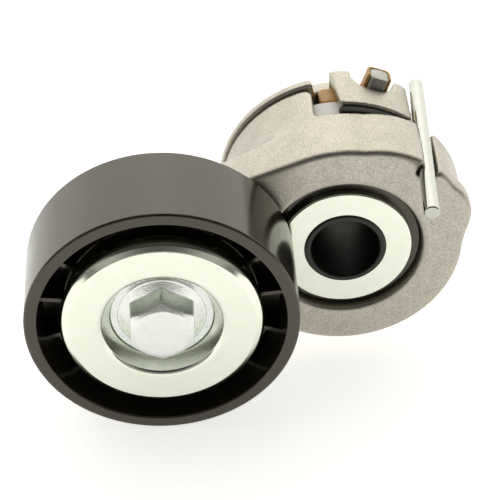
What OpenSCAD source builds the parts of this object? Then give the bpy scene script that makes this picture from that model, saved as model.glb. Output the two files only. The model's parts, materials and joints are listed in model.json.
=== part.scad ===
// Belt tensioner idler: a smooth plastic pulley on a sprung swing arm, with its transport lock pin.
// Origin: axis of the fixing screw, on the rear mounting face. The pivot axis lies along Y and the
// front is towards -Y. +Z is up and the pulley stands out towards -X. Angles about the pivot are
// measured from +X towards +Z, as seen from the front.

/* [Swing arm] */
// Distance from the pivot axis to the pulley axis
arm_reach = 45.4; // [44:0.2:48]
// Outer radius of the drum that holds the spring
drum_r = 29; // [28.6:0.1:29.2]
// Thickness of the drum wall
drum_wall = 2.8; // [2.6:0.1:3]
// Front face of the arm
face_y = -38.8; // [-39.2:0.1:-38.8]
// Rear edge of the drum
drum_rear_y = -10; // [-10.6:0.1:-10]
// Rear face of the arm web that reaches to the pulley
web_rear_y = -27.5; // [-28.5:0.5:-27]
// Radius of the boss behind the pulley
boss_r = 12.3; // [12:0.1:13]
// Radius of the recess round the front plate
recess_r = 19; // [18.8:0.1:19.4]
// Radius of the rounded pad that the lock pin lies across
pad_r = 23.6; // [23.4:0.1:23.8]

/* [Window and stop] */
// Angle of the window's wall that meets the stop tab
window_a1 = 104; // [104:0.5:106]
// Angle of the window's far wall
window_a0 = -30; // [-40:1:-25]
// Front edge of the window
window_y = -22; // [-22.4:0.1:-22]
// Angle of the stop tab's free edge
tab_a1 = 94; // [93:0.5:94]
// Angle of the stop tab's edge beside the lock pin
tab_a0 = 53.2; // [53.2:0.1:54]
// Front edge of the stop tab
tab_front_y = -18.4; // [-18.4:0.1:-18]

/* [Pulley] */
// Radius of the smooth belt face
pulley_r = 32.5; // [32:0.1:33]
// Width of the pulley
pulley_w = 24.6; // [24:0.1:25]
// Front edge of the pulley
pulley_front_y = -65.5; // [-65.6:0.1:-65.2]
// Thickness of the pulley's outer wall
pulley_wall = 3.1; // [2.6:0.1:3.4]
// Number of stiffening ribs in each side of the pulley
rib_count = 15; // [12:1:18]

/* [Bearing] */
// Bore radius of the ball bearing
bearing_bore_r = 8.5; // [8.5]
// Outer radius of the ball bearing
bearing_r = 20; // [20]
// Width of the ball bearing
bearing_w = 12; // [12]
// Number of balls
ball_count = 8; // [7:1:8]
// Radius of one ball
ball_r = 3.37; // [3.3:0.01:3.38]

/* [Fixing] */
// Outer radius of the pivot tube
tube_r = 10; // [10]
// Inner radius of the pivot tube, which the fixing screw's head passes
tube_bore_r = 8.5; // [8.4:0.05:8.6]
// Radius of the fixing screw's hole in the base
screw_hole_r = 5.25; // [5.25:0.05:5.5]
// Radius of the locating dowel
dowel_r = 4; // [3:0.5:4]
// Distance from the pivot axis to the locating dowel
dowel_reach = 21; // [20.5:0.5:21]

/* [Lock pin] */
// Radius of the lock pin
pin_r = 1.9; // [1.8:0.05:1.9]
// Length of the lock pin
pin_len = 52.5; // [50:0.5:54]

/* [Torsion spring] */
// Side of the spring's square wire
wire = 4.6; // [4.2:0.1:4.6]
// Radius of the middle of the coils
coil_r = 20.5; // [20.3:0.1:20.5]
// Number of turns
coil_turns = 4; // [3.5:0.5:4]

/* [Hidden] */
$fn = 96;

// Overshoot that keeps cutters clear of the faces they cut
cut = 1;
// Clearance between parts that turn past each other
gap = 0.3;
// Clearance between parts that are fixed to each other
fit = 0.1;
// Overlap between solids that are joined
lap = 0.5;

// Base: a dished disc with a hub, a rim and the stop tab
base_hub_r = 15.4;
base_hub_front_y = -17;
base_floor_y = -5.4;
base_back_y = -1.2;
base_boss_r = 17.5;
boss_wall = 2.4;
base_floor_r = 24.4;
base_rim_r0 = 23.1;
base_rim_r1 = 29.6;
base_rim_front_y = -9;
base_rim_back_y = -6.5;
base_link_r = 24.2;
base_rim_a0 = -10;
base_rim_a1 = 103;
screw_seat_y = -8;
tab_r0 = 26.5;
tab_r1 = 29.6;
tab_back_y = -4.2;
tab_foot_r = 28.9;
tab_foot_back_y = -3.6;
tang_a = 71;
tang_slot_w = 7.6;
tang_notch_a = 72;
tang_notch_r = 5.8;
tang_notch_y = -5.2;
back_rib_w = 2.4;
back_rib_h = 0.9;
back_rib_count = 7;
back_rib_step = 40;
back_rib_first_a = 110;
rim_bevel = 0.4;
dowel_out = 6.2;
dowel_bevel = 0.8;
dowel_undercut = 0.3;
dowel_root_y = 0.4;
dowel_relief = 0.6;
dowel_pocket_y = -3.9;

// Pivot stack, from the front
plate_r = 16.42;
plate_y0 = -38.5;
plate_y1 = -36.5;
tube_front_y = -38.9;
thrust_y0 = -36.4;
thrust_y1 = -35.2;
thrust_r = 18.6;
bush_r = 11.5;
bush_len = 8;
bush_clear = 0.05;
arm_hub_r = 15.5;
arm_hub_back_y = -17.8;
washer_y0 = -17.7;
face_wall_back_y = -30.8;
front_depth_y = -33.6;
pad_at = [7.8, 40];
window_out_r = 33.5;
drum_r0 = drum_r - drum_wall;
lug_at = [22, 23.5];
lug_r = 10.5;
flank_lap = 0.3;
// hollows in the back of the web
web_wall = 3.4;
web_rib_w = 3.2;
pocket_depth = 6;
counterbore = 1.6;
spigot_y = -55;

// Spring, shoe and liner
liner_r0 = 24.2;
liner_y1 = -12.7;
spring_back_y = -5.5;
tang_y = spring_back_y - wire / 2;
spring_front_y = face_wall_back_y + 0.2;
coil_rise = spring_back_y - spring_front_y - wire;
tang_end_r = 31.8;
wire_bevel = 0.7;
shoe_r0 = coil_r + wire / 2 + 0.4;
shoe_y0 = liner_y1 + gap;
shoe_y1 = base_floor_y - 0.6;
shoe_a0 = 58;
shoe_a1 = 101;
shoe_wall = 1;
sleeve_step = 1;
strip_a0 = tab_a0 + 0.4;
strip_a1 = tab_a1 - 2.5;
stop_a = 54;
stop_r = 17.8;
stop_w = 4;

// Lock pin: its axis leans outwards and turns a little towards the rear
pin_front_y = -54.5;
pin_front = [28.7 * cos(50.5), pin_front_y, 28.7 * sin(50.5)];
pin_lean = [2.08, 52.5, 1.25];
pin_tilt = acos(pin_lean[2] / norm(pin_lean));
pin_turn = atan2(pin_lean[1], pin_lean[0]);
pin_bevel = 0.3;
groove_w = 4.8;
groove_depth = 2.1;
groove_shift = 0.35;

// Pulley stack, from the front, on the pulley's own axis
hex_af = 15;
hex_top_y = -68.7;
hex_top_r = 6.5;
hex_chamfer = 30;
flange_r = 12.25;
flange_front_y = -61.7;
flange_seat_y = -59.5;
flange_bevel = 0.7;
flange_rim_r = 10.4;
flange_step = 0.3;
flange_cone_r = 7.5;
flange_cone_y = -62.4;
bolt_shank_r = 5;
bolt_tip_y = -30;
race_front_y = -55.6;
race_back_y = race_front_y + bearing_w;
race_mid_y = (race_front_y + race_back_y) / 2;
race_in_r = 11.6;
race_out_r = 17.1;
ball_pitch_r = 14.25;
groove_clear = 0.06;
cage_half_w = 4.2;
cage_r0 = 13;
cage_r1 = 15.5;
seal_w = 0.9;
seal_inset = 0.35;
shield_back_y = race_back_y + 1;
shield_r = 22.5;
shield_wall = 0.8;
cover_wall = 1;
cover_front_y = -66;
cover_r = 24.2;
cover_flat_r0 = 14.6;
cover_flat_r1 = 22.1;
cover_shoulder = 2.2;
cover_bend_r = 23.7;
cover_bend = 1.1;
cover_skirt_y = -62.4;
cover_floor_y = flange_seat_y + cover_wall;
funnel_r = 12.4;
funnel_y = -62.2;
hub_ring_r = 23.5;
hub_ring_y0 = -57;
hub_ring_y1 = race_back_y - 0.3;
pulley_web_y0 = -52;
pulley_web_y1 = -48.4;
rib_w = 1.3;
rib_front_y = -61;
rib_back_y = -44.4;
rib_first_a = 6;
edge_out = 0.5;
edge_in = 0.3;
draft = 0.2;

alloy = [0.75, 0.73, 0.68];
zinc = [0.88, 0.89, 0.82];
steel = [0.6, 0.6, 0.6];

// A point at radius r and angle a in an outline
function polar(r, a) = [r * cos(a), r * sin(a)];

// Extrudes an outline drawn in X and Z from y0 back to y1
module along_y(y0, y1) {
    rotate([90, 0, 0]) translate([0, 0, -y1]) linear_extrude(y1 - y0) children();
}

// Turns a profile of radius and Y round the Y axis, from angle a0 to a1
module turned(a0 = 0, a1 = 360) {
    rotate([90, 0, 0]) rotate([0, 0, a0]) rotate_extrude(angle = a1 - a0) mirror([0, 1]) children();
}

// A ring between two radii, from y0 to y1 and from angle a0 to a1
module ring(r0, r1, y0, y1, a0 = 0, a1 = 360) {
    turned(a0, a1) translate([r0, y0]) square([r1 - r0, y1 - y0]);
}

// A solid round bar along Y
module bar(r, y0, y1) {
    along_y(y0, y1) circle(r);
}

// Extrudes an outline of Y and tangential distance outwards along the radius at angle a
module along_radius(a, r0, r1) {
    rotate([0, -a, 0]) translate([r0, 0, 0]) rotate([90, 0, 90]) linear_extrude(r1 - r0) children();
}

// Moves its children to the pulley's axis
module at_pulley() {
    translate([-arm_reach, 0, 0]) children();
}

// Places its children on the lock pin's axis, with local Z pointing to the rear along it
module on_pin() {
    translate(pin_front) rotate([0, pin_tilt, pin_turn]) children();
}

// --- Base ---------------------------------------------------------------------------------

module base_disc() {
    // hub and boss, with the rear mounting face at Y = 0
    ring(screw_hole_r, base_hub_r, base_floor_y, 0);
    ring(tube_r, base_hub_r, base_hub_front_y, screw_seat_y);
    ring(screw_hole_r, base_hub_r, screw_seat_y, base_floor_y);
    ring(base_hub_r, base_boss_r, base_floor_y, 0);
    // floor
    ring(base_boss_r, base_floor_r, base_floor_y, base_back_y);
    // rim behind the drum, from the stop tab round to the open side
    turned(base_rim_a1, base_rim_a0 + 360)
        polygon([
            [base_rim_r0, base_floor_y + lap], [base_rim_r0, base_rim_front_y],
            [base_rim_r1 - rim_bevel, base_rim_front_y], [base_rim_r1, base_rim_front_y + rim_bevel],
            [base_rim_r1, base_rim_back_y - rim_bevel], [base_rim_r1 - rim_bevel, base_rim_back_y],
            [base_link_r, base_rim_back_y], [base_link_r, base_floor_y + lap]
        ]);
    // ribs on the back, in the shallow ring round the boss
    for (i = [0:back_rib_count - 1])
        rotate([0, -(i * back_rib_step + back_rib_first_a), 0])
            translate([base_boss_r - lap, base_back_y - lap, -back_rib_w / 2])
                cube([base_floor_r - base_boss_r, lap + back_rib_h, back_rib_w]);
}

module base_casting() {
    color(alloy) difference() {
        union() {
            base_disc();
            // stop tab, on a foot that joins it to the floor
            ring(tab_r0, tab_r1, tab_front_y, tab_back_y, tab_a0, tab_a1);
            ring(base_rim_r0, tab_foot_r, base_floor_y, tab_foot_back_y, tab_a0, tab_a1);
            // boss that holds the dowel
            translate([0, 0, -dowel_reach]) bar(dowel_r + boss_wall, base_floor_y, 0);
        }
        // rounded notch in the tab for the spring's end, open to the rear
        along_radius(tang_notch_a, tab_r0 - lap, tab_r1 + cut)
            union() {
                translate([tang_notch_y, 0]) circle(tang_notch_r);
                translate([tang_notch_y, -tang_notch_r]) square([20, 2 * tang_notch_r]);
            }
        // slot for the spring's end in the floor and the foot
        along_radius(tang_a, coil_r + wire / 2, tab_r0 + lap)
            translate([tang_y - wire / 2, -tang_slot_w / 2]) square([20, tang_slot_w]);
        translate([0, 0, -dowel_reach]) {
            bar(dowel_r - dowel_undercut, dowel_pocket_y, cut);
            bar(dowel_r + gap, -dowel_relief, cut);
        }
    }
}

module locating_dowel() {
    color(steel) translate([0, 0, -dowel_reach]) turned()
        polygon([
            [0, dowel_pocket_y], [dowel_r - dowel_undercut, dowel_pocket_y],
            [dowel_r - dowel_undercut, dowel_root_y], [dowel_r, dowel_root_y],
            [dowel_r, dowel_out - dowel_bevel], [dowel_r - dowel_bevel, dowel_out], [0, dowel_out]
        ]);
}

module pivot_tube() {
    color([0.12, 0.1, 0.09]) ring(tube_bore_r, tube_r, tube_front_y, screw_seat_y);
}

module front_plate() {
    color(zinc) ring(tube_r, plate_r, plate_y0, plate_y1);
}

module rear_thrust_washer() {
    color([0.55, 0.45, 0.3]) ring(tube_r + gap, arm_hub_r - lap, washer_y0, base_hub_front_y);
}

// --- Spring and friction parts ----------------------------------------------------------------

function coil_angle(t) = tang_a - 1 - 360 * coil_turns * (1 - t);
function coil_point(t, dr, dy) = [
    (coil_r + dr) * cos(coil_angle(t)),
    tang_y - coil_rise * (1 - t) + dy,
    (coil_r + dr) * sin(coil_angle(t))
];

// Closed tube of square section along the coils
module coil() {
    steps = 32 * coil_turns;
    h = wire / 2;
    c = wire / 2 - wire_bevel;
    section = [[-h, -c], [-c, -h], [c, -h], [h, -c], [h, c], [c, h], [-c, h], [-h, c]];
    n = len(section);
    points = [for (i = [0:steps]) for (s = section) coil_point(i / steps, s[0], s[1])];
    sides = [
        for (i = [0:steps - 1]) for (k = [0:n - 1])
            [i * n + k, (i + 1) * n + k, (i + 1) * n + (k + 1) % n, i * n + (k + 1) % n]
    ];
    front_end = [for (k = [0:n - 1]) k];
    rear_end = [for (k = [n - 1:-1:0]) steps * n + k];
    polyhedron(points, concat(sides, [front_end, rear_end]), convexity = 10);
}

module torsion_spring() {
    color(steel) {
        coil();
        // straight end that leaves through the tab's notch
        along_radius(tang_a, coil_r - wire / 2 + 2 * lap, tang_end_r)
            translate([tang_y - wire / 2 + fit, -wire / 2]) square([wire - 2 * fit, wire]);
    }
}

module spring_shoe() {
    sleeve = wire + 2 * shoe_wall + 2 * fit;
    color([0.74, 0.48, 0.18]) difference() {
        union() {
            ring(shoe_r0, drum_r0 - gap, shoe_y0, shoe_y1, shoe_a0, shoe_a1);
            along_radius(tang_a, shoe_r0, tang_end_r + 2 * fit)
                translate([tang_y - wire / 2 + sleeve_step, -sleeve / 2])
                    square([wire + shoe_wall + fit - sleeve_step, sleeve]);
        }
        // channel that the spring's straight end lies in, open to the front
        along_radius(tang_a, coil_r, tang_end_r + cut)
            translate([tang_y - wire / 2 - fit, -wire / 2 - fit]) square([wire + 2 * fit, wire + 2 * fit]);
    }
}

module damper_strip() {
    color([0.05, 0.05, 0.05])
        ring(tab_r0, drum_r, window_y + gap, tab_front_y, strip_a0, strip_a1);
}

module friction_liner() {
    color([0.93, 0.93, 0.92]) ring(liner_r0, drum_r0 - fit, face_wall_back_y, liner_y1);
}

module thrust_ring() {
    color([0.06, 0.06, 0.06]) ring(tube_r + gap, thrust_r, thrust_y0, thrust_y1);
}

module pivot_bush(y0) {
    color([0.5, 0.42, 0.25]) ring(tube_r + bush_clear, bush_r, y0, y0 + bush_len);
}

module pivot_bush_front() {
    pivot_bush(thrust_y1);
}

module pivot_bush_rear() {
    pivot_bush(arm_hub_back_y - bush_len);
}

// --- Swing arm --------------------------------------------------------------------------------

// Outline of the arm's web: two straight flanks from the drum, tangent to the boss
module web_outline(inset = 0) {
    // the flanks run a little inside the drum, so that they meet its wall at an angle
    meet_r = drum_r - flank_lap;
    a = acos((meet_r - boss_r) / arm_reach);
    drum_p = polar(meet_r - inset, 180 - a);
    boss_p = polar(boss_r - inset, 180 - a);
    polygon([
        drum_p, [boss_p[0] - arm_reach, boss_p[1]],
        [boss_p[0] - arm_reach, -boss_p[1]], [drum_p[0], -drum_p[1]]
    ]);
    translate([-arm_reach, 0]) circle(boss_r - inset);
}

// Outline of the arm's front: the drum, and a rounded lug below the lock pin's pad
module front_outline() {
    circle(drum_r);
    translate(polar(lug_at[0], lug_at[1])) circle(lug_r);
}

module arm_casting() {
    color(alloy) difference() {
        union() {
            // front wall, drum and hub
            along_y(face_y, front_depth_y) difference() {
                front_outline();
                circle(recess_r);
            }
            ring(recess_r, drum_r, front_depth_y, face_wall_back_y);
            ring(bush_r, recess_r, thrust_y1, face_wall_back_y);
            ring(drum_r0, drum_r, face_wall_back_y, drum_rear_y);
            ring(bush_r, arm_hub_r, face_wall_back_y, arm_hub_back_y);
            // pad on the drum that the lock pin lies across, as far back as the window
            difference() {
                along_y(face_y, window_y + lap) translate(polar(pad_at[0], pad_at[1])) circle(pad_r);
                bar(drum_r - 1, face_y - cut, window_y + cut);
            }
            // web, outside the drum only
            difference() {
                along_y(face_y, web_rear_y) web_outline();
                bar(drum_r - 1, face_y - cut, web_rear_y + cut);
            }
            // boss and spigot under the bearing
            at_pulley() bar(boss_r - 1, shield_back_y, face_y + cut);
            at_pulley() bar(bearing_bore_r, spigot_y, shield_back_y + cut);
            // stop for the spring's front end
            along_radius(stop_a, stop_r, liner_r0 - gap)
                translate([face_wall_back_y - lap, -stop_w / 2]) square([wire, stop_w]);
        }
        // window for the stop tab, open to the rear
        ring(drum_r0 - cut, window_out_r, window_y, drum_rear_y + cut, window_a0, window_a1);
        // groove for the lock pin
        on_pin() rotate([0, 0, -140]) translate([-groove_depth, groove_shift - groove_w / 2, 0])
            cube([12, groove_w, 2 * pin_len]);
        // threaded hole for the pulley bolt, with a shallow recess at the back
        at_pulley() bar(bolt_shank_r, flange_seat_y, 0);
        at_pulley() bar(bolt_shank_r + counterbore, web_rear_y - counterbore, 0);
        // pockets in the back of the web, one each side of a middle rib
        for (side = [0, 1])
            mirror([0, 0, side]) difference() {
                along_y(web_rear_y - pocket_depth, web_rear_y + cut) intersection() {
                    web_outline(web_wall);
                    translate([-arm_reach, web_rib_w / 2]) square([arm_reach, drum_r]);
                }
                bar(drum_r + web_rib_w / 2, face_y, 0);
                at_pulley() bar(boss_r - web_rib_w / 2, face_y, 0);
            }
    }
}

// --- Pulley -----------------------------------------------------------------------------------

module pulley_bolt() {
    corner_r = hex_af / 2 / cos(hex_chamfer);
    hex_side_r = corner_r + cut;
    color(zinc) at_pulley() {
        // flange with a cone inside its raised rim, and the shank
        turned() polygon([
            [0, flange_cone_y], [flange_cone_r, flange_cone_y],
            [flange_rim_r, flange_front_y + flange_step], [flange_rim_r, flange_front_y],
            [flange_r - flange_bevel, flange_front_y], [flange_r, flange_front_y + flange_bevel],
            [flange_r, flange_seat_y], [bolt_shank_r, flange_seat_y],
            [bolt_shank_r, bolt_tip_y - 1], [bolt_shank_r - 1, bolt_tip_y], [0, bolt_tip_y]
        ]);
        // hexagon with a corner upwards and a chamfered top
        intersection() {
            along_y(hex_top_y, flange_cone_y + 2 * lap) rotate(90) circle(r = corner_r, $fn = 6);
            turned() polygon([
                [0, hex_top_y], [hex_top_r, hex_top_y],
                [hex_side_r, hex_top_y + (hex_side_r - hex_top_r) * tan(hex_chamfer)],
                [hex_side_r, flange_seat_y], [0, flange_seat_y]
            ]);
        }
    }
}

module dust_cover() {
    color(zinc) at_pulley() turned() polygon([
        [bolt_shank_r + fit, flange_seat_y], [funnel_r, flange_seat_y], [funnel_r, funnel_y],
        [cover_flat_r0, cover_front_y], [cover_flat_r1, cover_front_y],
        [cover_bend_r, cover_front_y + cover_bend], [cover_r, cover_front_y + cover_shoulder],
        [cover_r, cover_skirt_y], [cover_r - cover_wall, cover_skirt_y],
        [cover_r - cover_wall, cover_front_y + cover_shoulder + 0.3],
        [cover_flat_r1 - 0.2, cover_front_y + cover_wall], [cover_flat_r0 + lap, cover_front_y + cover_wall],
        [funnel_r + cover_wall, funnel_y + 0.4], [funnel_r + cover_wall, cover_floor_y],
        [bolt_shank_r + fit, cover_floor_y]
    ]);
}

module bearing_spacer() {
    color(steel) at_pulley() ring(bolt_shank_r + fit, race_in_r, cover_floor_y, race_front_y);
}

module rear_dust_shield() {
    color(zinc) at_pulley() turned() polygon([
        [bearing_bore_r + fit, race_back_y], [cage_r0, race_back_y], [cage_r0, race_back_y + fit],
        [shield_r, race_back_y + fit], [shield_r, race_back_y + fit + shield_wall],
        [bearing_bore_r + fit, shield_back_y]
    ]);
}

// Ball track: a round groove turned about the pulley's axis
module ball_track() {
    turned() translate([ball_pitch_r, race_mid_y]) circle(ball_r + groove_clear);
}

module bearing_inner_race() {
    color(steel) at_pulley() difference() {
        ring(bearing_bore_r, race_in_r, race_front_y, race_back_y);
        ball_track();
    }
}

module bearing_outer_race() {
    color(steel) at_pulley() difference() {
        ring(race_out_r, bearing_r, race_front_y, race_back_y);
        ball_track();
    }
}

module bearing_seal(y0) {
    color([0.15, 0.1, 0.08]) at_pulley() ring(race_in_r + fit, race_out_r - fit / 2, y0, y0 + seal_w);
}

module bearing_seal_front() {
    bearing_seal(race_front_y + seal_inset);
}

module bearing_seal_rear() {
    bearing_seal(race_back_y - seal_inset - seal_w);
}

// Places its children at each ball's centre
module at_balls() {
    for (i = [0:ball_count - 1])
        rotate([0, i * 360 / ball_count, 0]) translate([ball_pitch_r, race_mid_y, 0]) children();
}

module bearing_balls() {
    color(steel) at_pulley() at_balls() sphere(ball_r);
}

module bearing_cage() {
    color([0.6, 0.5, 0.3]) at_pulley() difference() {
        ring(cage_r0, cage_r1, race_mid_y - cage_half_w, race_mid_y + cage_half_w);
        at_balls() rotate([0, 90, 0]) cylinder(r = ball_r + groove_clear, h = 2 * ball_r, center = true);
    }
}

module pulley_tyre() {
    back = pulley_front_y + pulley_w;
    inner = pulley_r - pulley_wall;
    color([0.1, 0.1, 0.09]) at_pulley() {
        turned() polygon([
            [bearing_r, hub_ring_y0], [hub_ring_r, hub_ring_y0], [hub_ring_r, pulley_web_y0],
            [inner - draft, pulley_web_y0], [inner, pulley_front_y + edge_in],
            [inner + edge_in, pulley_front_y], [pulley_r - edge_out, pulley_front_y],
            [pulley_r, pulley_front_y + edge_out], [pulley_r, back - edge_out],
            [pulley_r - edge_out, back], [inner + edge_in, back], [inner, back - edge_in],
            [inner - draft, pulley_web_y1], [hub_ring_r, pulley_web_y1], [hub_ring_r, hub_ring_y1],
            [bearing_r, hub_ring_y1]
        ]);
        for (i = [0:rib_count - 1])
            rotate([0, -(rib_first_a + i * 360 / rib_count), 0]) {
                translate([hub_ring_r - lap, rib_front_y, -rib_w / 2])
                    cube([inner - hub_ring_r + 1.2 * lap, pulley_web_y0 - rib_front_y + lap, rib_w]);
                translate([hub_ring_r - lap, pulley_web_y1 - lap, -rib_w / 2])
                    cube([inner - hub_ring_r + 1.2 * lap, rib_back_y - pulley_web_y1 + lap, rib_w]);
            }
    }
}

// --- Lock pin ---------------------------------------------------------------------------------

module lock_pin() {
    color(zinc) on_pin() {
        cylinder(r1 = pin_r - pin_bevel, r2 = pin_r, h = pin_bevel);
        translate([0, 0, pin_bevel]) cylinder(r = pin_r, h = pin_len - 2 * pin_bevel);
        translate([0, 0, pin_len - pin_bevel]) cylinder(r1 = pin_r, r2 = pin_r - pin_bevel, h = pin_bevel);
    }
}

base_casting();
locating_dowel();
pivot_tube();
front_plate();
torsion_spring();
spring_shoe();
damper_strip();
rear_thrust_washer();
arm_casting();
pivot_bush_front();
pivot_bush_rear();
thrust_ring();
friction_liner();
pulley_bolt();
dust_cover();
bearing_spacer();
bearing_inner_race();
rear_dust_shield();
pulley_tyre();
bearing_outer_race();
bearing_seal_front();
bearing_seal_rear();
bearing_balls();
bearing_cage();
lock_pin();
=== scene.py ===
import bpy, json, math
import numpy as np
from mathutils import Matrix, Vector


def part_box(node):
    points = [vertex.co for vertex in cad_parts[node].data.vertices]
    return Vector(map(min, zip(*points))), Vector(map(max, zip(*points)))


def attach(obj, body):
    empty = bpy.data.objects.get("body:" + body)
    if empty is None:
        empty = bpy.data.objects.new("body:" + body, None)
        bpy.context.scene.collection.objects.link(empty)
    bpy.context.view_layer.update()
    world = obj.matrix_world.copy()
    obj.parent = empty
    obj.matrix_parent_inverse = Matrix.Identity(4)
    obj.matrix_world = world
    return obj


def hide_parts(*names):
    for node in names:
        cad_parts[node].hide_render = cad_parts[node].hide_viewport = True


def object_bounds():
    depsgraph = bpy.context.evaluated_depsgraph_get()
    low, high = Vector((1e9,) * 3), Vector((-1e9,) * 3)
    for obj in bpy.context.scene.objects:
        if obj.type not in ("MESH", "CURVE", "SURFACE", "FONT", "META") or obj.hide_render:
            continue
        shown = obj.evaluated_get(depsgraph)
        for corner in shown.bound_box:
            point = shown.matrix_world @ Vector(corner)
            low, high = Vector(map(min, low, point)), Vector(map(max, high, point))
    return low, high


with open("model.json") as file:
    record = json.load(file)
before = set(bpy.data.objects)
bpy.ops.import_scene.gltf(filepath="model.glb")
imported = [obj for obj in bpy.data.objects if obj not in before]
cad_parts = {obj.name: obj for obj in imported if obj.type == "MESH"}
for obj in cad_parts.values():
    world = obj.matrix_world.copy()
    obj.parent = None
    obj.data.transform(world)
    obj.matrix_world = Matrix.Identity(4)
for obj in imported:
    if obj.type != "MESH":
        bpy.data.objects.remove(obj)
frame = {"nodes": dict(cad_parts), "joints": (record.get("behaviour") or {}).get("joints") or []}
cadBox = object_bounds()
mm = 0.001
nodes, joints = frame["nodes"], {j["name"]: j for j in frame["joints"]}


def boxMm(node):  # a node's box in millimetres, as two arrays
    low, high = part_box(node)
    return np.array(low) / mm, np.array(high) / mm


tyreLow, tyreHigh = boxMm("pulley_tyre")
armLow, armHigh = boxMm("arm_casting")
pulleyAt = np.array([(tyreLow[0] + tyreHigh[0]) / 2, 0.0, (tyreLow[2] + tyreHigh[2]) / 2])

# where the camera stands, and the light of the room round it
view = {
    "fromPulley": (1.855, -363.783, 307.995),  # camera, from the middle of the pulley's front edge, mm
    "turn": -2.944,
    "down": 38.170,
    "lens": 146.26,
}
studio = {
    "floor": (0.93, 0.93, 0.90),
    "floorGlow": 0.72,
    "behind": 2.1,     # light from above and behind
    "front": 0.05,     # dark side of the room, above and behind the camera
    "low": 0.42,       # pale band low down behind the camera
    "sides": 0.20,
    "falloff": 0.72,   # share of the light from behind that is left towards either side
    "warm": (1.0, 0.975, 0.92),
}


def addCamera():
    data = bpy.data.cameras.new("camera")
    data.lens = view["lens"]
    data.sensor_width = 36.0
    data.clip_start = 0.01
    data.clip_end = 20.0
    cam = bpy.data.objects.new("camera", data)
    at = np.array([pulleyAt[0], tyreLow[1], 0.0]) + np.array(view["fromPulley"])
    cam.location = at * mm
    cam.rotation_euler = (math.radians(90 - view["down"]), 0, math.radians(view["turn"]))
    bpy.context.scene.collection.objects.link(cam)
    bpy.context.scene.camera = cam


def node(tree, kind, **values):  # adds a shader node; a key such as i2 sets input 2
    made = tree.nodes.new(kind)
    for key, value in values.items():
        if key[0] == "i" and key[1:].isdigit():
            made.inputs[int(key[1:])].default_value = value
        elif hasattr(made, key):
            setattr(made, key, value)
        else:
            made.inputs[key.replace("_", " ")].default_value = value
    return made


def addStudio():
    floor = bpy.data.objects.new("floor", bpy.data.meshes.new("floor"))
    z = cadBox[0][2] - 0.0001
    floor.data.from_pydata([(-3, -3, z), (3, -3, z), (3, 3, z), (-3, 3, z)], [], [(0, 1, 2, 3)])
    mat = bpy.data.materials.new("floorPaint")
    mat.use_nodes = True
    shader = mat.node_tree.nodes["Principled BSDF"]
    shader.inputs["Base Color"].default_value = (*studio["floor"], 1)
    shader.inputs["Roughness"].default_value = 0.9
    shader.inputs["Specular IOR Level"].default_value = 0.1
    shader.inputs["Emission Color"].default_value = (1.0, 1.0, 0.975, 1)
    shader.inputs["Emission Strength"].default_value = studio["floorGlow"]
    floor.data.materials.append(mat)
    bpy.context.scene.collection.objects.link(floor)

    world = bpy.data.worlds.new("studio")
    world.use_nodes = True
    tree = world.node_tree
    back = tree.nodes["Background"]
    direction = node(tree, "ShaderNodeTexCoord")
    split = node(tree, "ShaderNodeSeparateXYZ")
    tree.links.new(direction.outputs["Generated"], split.inputs[0])
    # brightness rises from the dark front to the bright back
    depth = node(tree, "ShaderNodeMapRange", interpolation_type="SMOOTHSTEP",
                 From_Min=-0.25, From_Max=0.75, To_Min=studio["front"], To_Max=studio["behind"])
    tree.links.new(split.outputs["Y"], depth.inputs["Value"])
    side = node(tree, "ShaderNodeMath", operation="ABSOLUTE")
    tree.links.new(split.outputs["X"], side.inputs[0])
    sides = node(tree, "ShaderNodeMapRange", interpolation_type="SMOOTHSTEP",
                 From_Min=0.45, From_Max=0.95, To_Min=0.0, To_Max=studio["sides"])
    tree.links.new(side.outputs[0], sides.inputs["Value"])
    total = node(tree, "ShaderNodeMath", operation="MAXIMUM")
    # the light from behind is weaker towards the sides
    fall = node(tree, "ShaderNodeMapRange", From_Min=0.0, From_Max=0.7, To_Min=1.0, To_Max=studio["falloff"])
    tree.links.new(side.outputs[0], fall.inputs["Value"])
    weighed = node(tree, "ShaderNodeMath", operation="MULTIPLY")
    tree.links.new(depth.outputs["Result"], weighed.inputs[0])
    tree.links.new(fall.outputs["Result"], weighed.inputs[1])
    # pale band low down in front
    rise = node(tree, "ShaderNodeMapRange", interpolation_type="SMOOTHSTEP", From_Min=0.05, From_Max=0.2)
    drop = node(tree, "ShaderNodeMapRange", interpolation_type="SMOOTHSTEP", From_Min=0.32, From_Max=0.55,
                To_Min=studio["low"], To_Max=0.0)
    ahead = node(tree, "ShaderNodeMapRange", From_Min=-0.2, From_Max=-0.6, To_Min=0.0, To_Max=1.0)
    tree.links.new(split.outputs["Z"], rise.inputs["Value"])
    tree.links.new(split.outputs["Z"], drop.inputs["Value"])
    tree.links.new(split.outputs["Y"], ahead.inputs["Value"])
    band = node(tree, "ShaderNodeMath", operation="MULTIPLY")
    tree.links.new(rise.outputs["Result"], band.inputs[0])
    tree.links.new(drop.outputs["Result"], band.inputs[1])
    low = node(tree, "ShaderNodeMath", operation="MULTIPLY_ADD")
    tree.links.new(band.outputs[0], low.inputs[0])
    tree.links.new(ahead.outputs["Result"], low.inputs[1])
    tree.links.new(weighed.outputs[0], low.inputs[2])
    tree.links.new(low.outputs[0], total.inputs[0])
    tree.links.new(sides.outputs["Result"], total.inputs[1])
    tree.links.new(total.outputs[0], back.inputs["Strength"])
    back.inputs["Color"].default_value = (*studio["warm"], 1)
    bpy.context.scene.world = world
    bpy.context.scene.view_settings.view_transform = "Standard"


addCamera()
addStudio()
print("camera and studio done")

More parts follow.
